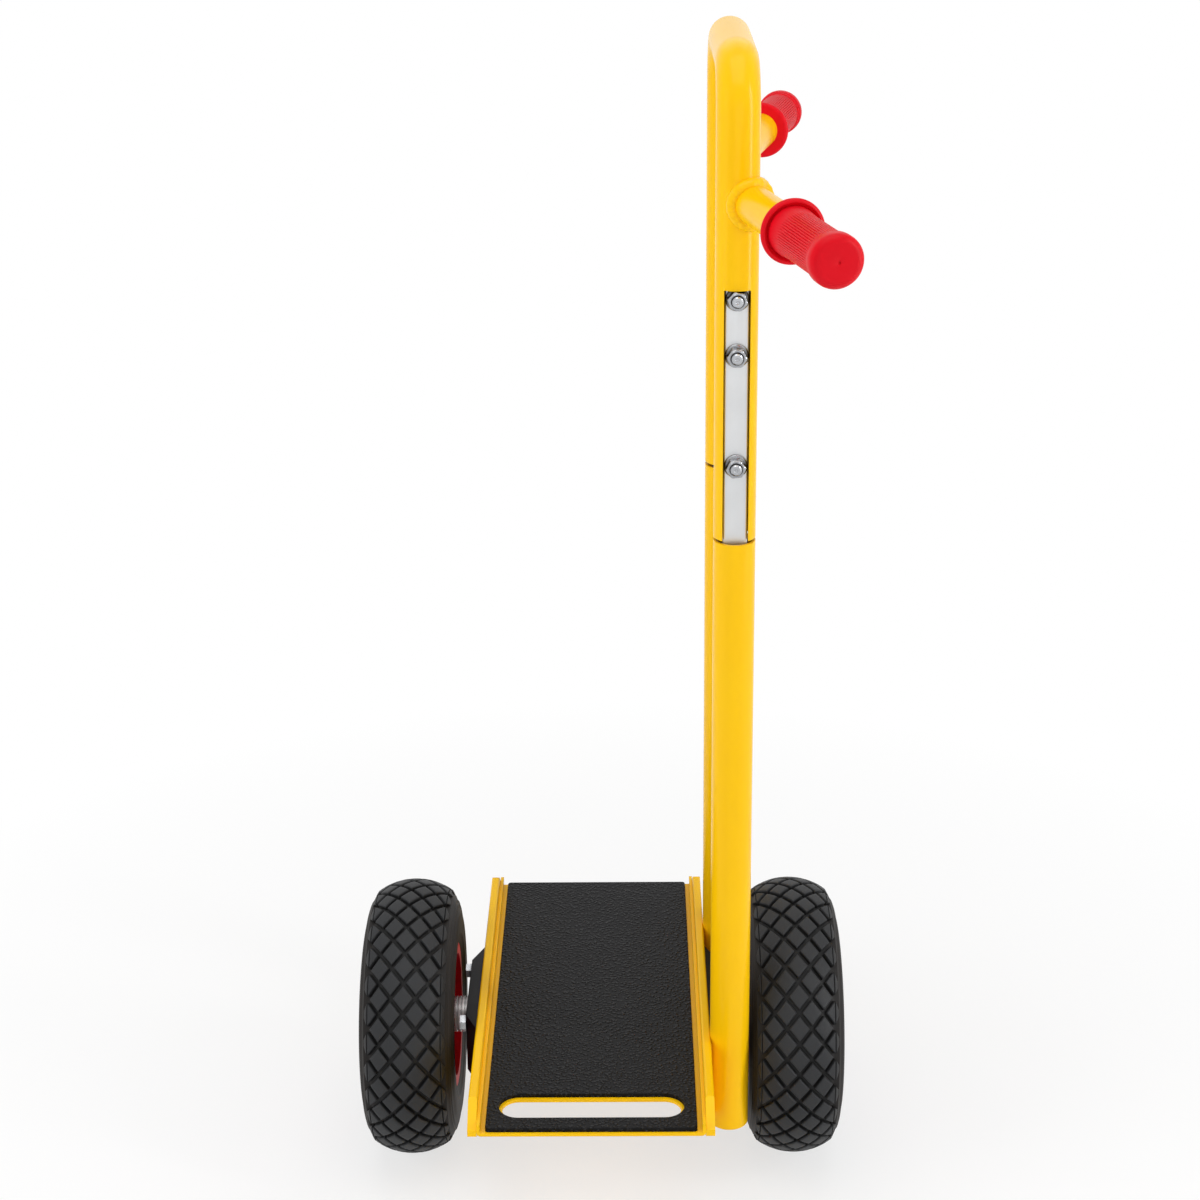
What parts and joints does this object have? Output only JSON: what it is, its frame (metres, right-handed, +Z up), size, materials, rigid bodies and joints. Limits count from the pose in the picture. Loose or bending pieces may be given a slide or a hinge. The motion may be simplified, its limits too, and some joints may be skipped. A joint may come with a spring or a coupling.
{
  "type": "panel cart",
  "caption": "Two-wheeled panel cart: narrow low tray with a rubber mat and hand slot between foam tyres, and a sliding tube bow with side grips that sheets lean on.",
  "frame": {"origin": "on the floor, under the middle of the axle", "axes": "+X along the axle to the side of the bow, +Y along the tray away from the hand slot, +Z up"},
  "size_m": [0.4528, 0.6334, 1.078],
  "materials": {
    "yellow_paint": "smooth signal-yellow powder coat, semi-gloss",
    "red_paint": "red gloss paint on pressed steel",
    "black_paint": "black semi-matt paint",
    "mat_rubber": "black rubber with a fine pebbled grain",
    "tyre_rubber": "dark grey foam tyre with diamond tread",
    "red_grip": "red soft vinyl with lengthwise ribs",
    "bar_steel": "bright zinc-plated square tube",
    "bare_steel": "turned bare steel",
    "zinc_steel": "zinc-plated fasteners"
  },
  "bodies": {
    "chassis": {"tray": "yellow_paint", "rubber_mat": "mat_rubber", "axle": "bare_steel", "left_side_plate": "yellow_paint", "left_axle_block": "black_paint", "left_block_bolts": "zinc_steel", "left_axle_sleeve": "bare_steel", "left_end_washer": "zinc_steel", "left_axle_cap": "zinc_steel", "right_side_plate": "yellow_paint", "right_axle_block": "black_paint", "right_block_bolts": "zinc_steel", "right_axle_sleeve": "bare_steel", "right_end_washer": "zinc_steel", "right_axle_cap": "zinc_steel", "near_leg": "yellow_paint", "near_lock_nut": "yellow_paint", "near_lock_screw": "zinc_steel", "far_leg": "yellow_paint", "far_lock_nut": "yellow_paint", "far_lock_screw": "zinc_steel"},
    "sliding_bow": {"bow": "yellow_paint", "bar_bolts": "zinc_steel", "bar_washers": "zinc_steel", "bar_nuts": "zinc_steel", "near_slide_bar": "bar_steel", "near_grip_stub": "yellow_paint", "near_grip": "red_grip", "far_slide_bar": "bar_steel", "far_grip_stub": "yellow_paint", "far_grip": "red_grip"},
    "left_wheel": {"left_tyre": "tyre_rubber", "left_inner_rim": "red_paint", "left_outer_rim": "red_paint", "left_rim_bolts": "zinc_steel", "left_hub": "bare_steel", "left_bearings": "bare_steel"},
    "right_wheel": {"right_tyre": "tyre_rubber", "right_inner_rim": "red_paint", "right_outer_rim": "red_paint", "right_rim_bolts": "zinc_steel", "right_hub": "bare_steel", "right_bearings": "bare_steel"}
  },
  "joints": [
    {"name": "bow_height", "type": "slide", "parent": "chassis", "child": "sliding_bow", "axis": [0, 0, 1], "range_m": [0, 0.144]},
    {"name": "left_wheel_spin", "type": "hinge", "parent": "chassis", "child": "left_wheel", "pos_m": [-0.182, 0, 0.13], "axis": [1, 0, 0], "continuous": true},
    {"name": "right_wheel_spin", "type": "hinge", "parent": "chassis", "child": "right_wheel", "pos_m": [0.182, 0, 0.13], "axis": [1, 0, 0], "continuous": true}
  ]
}
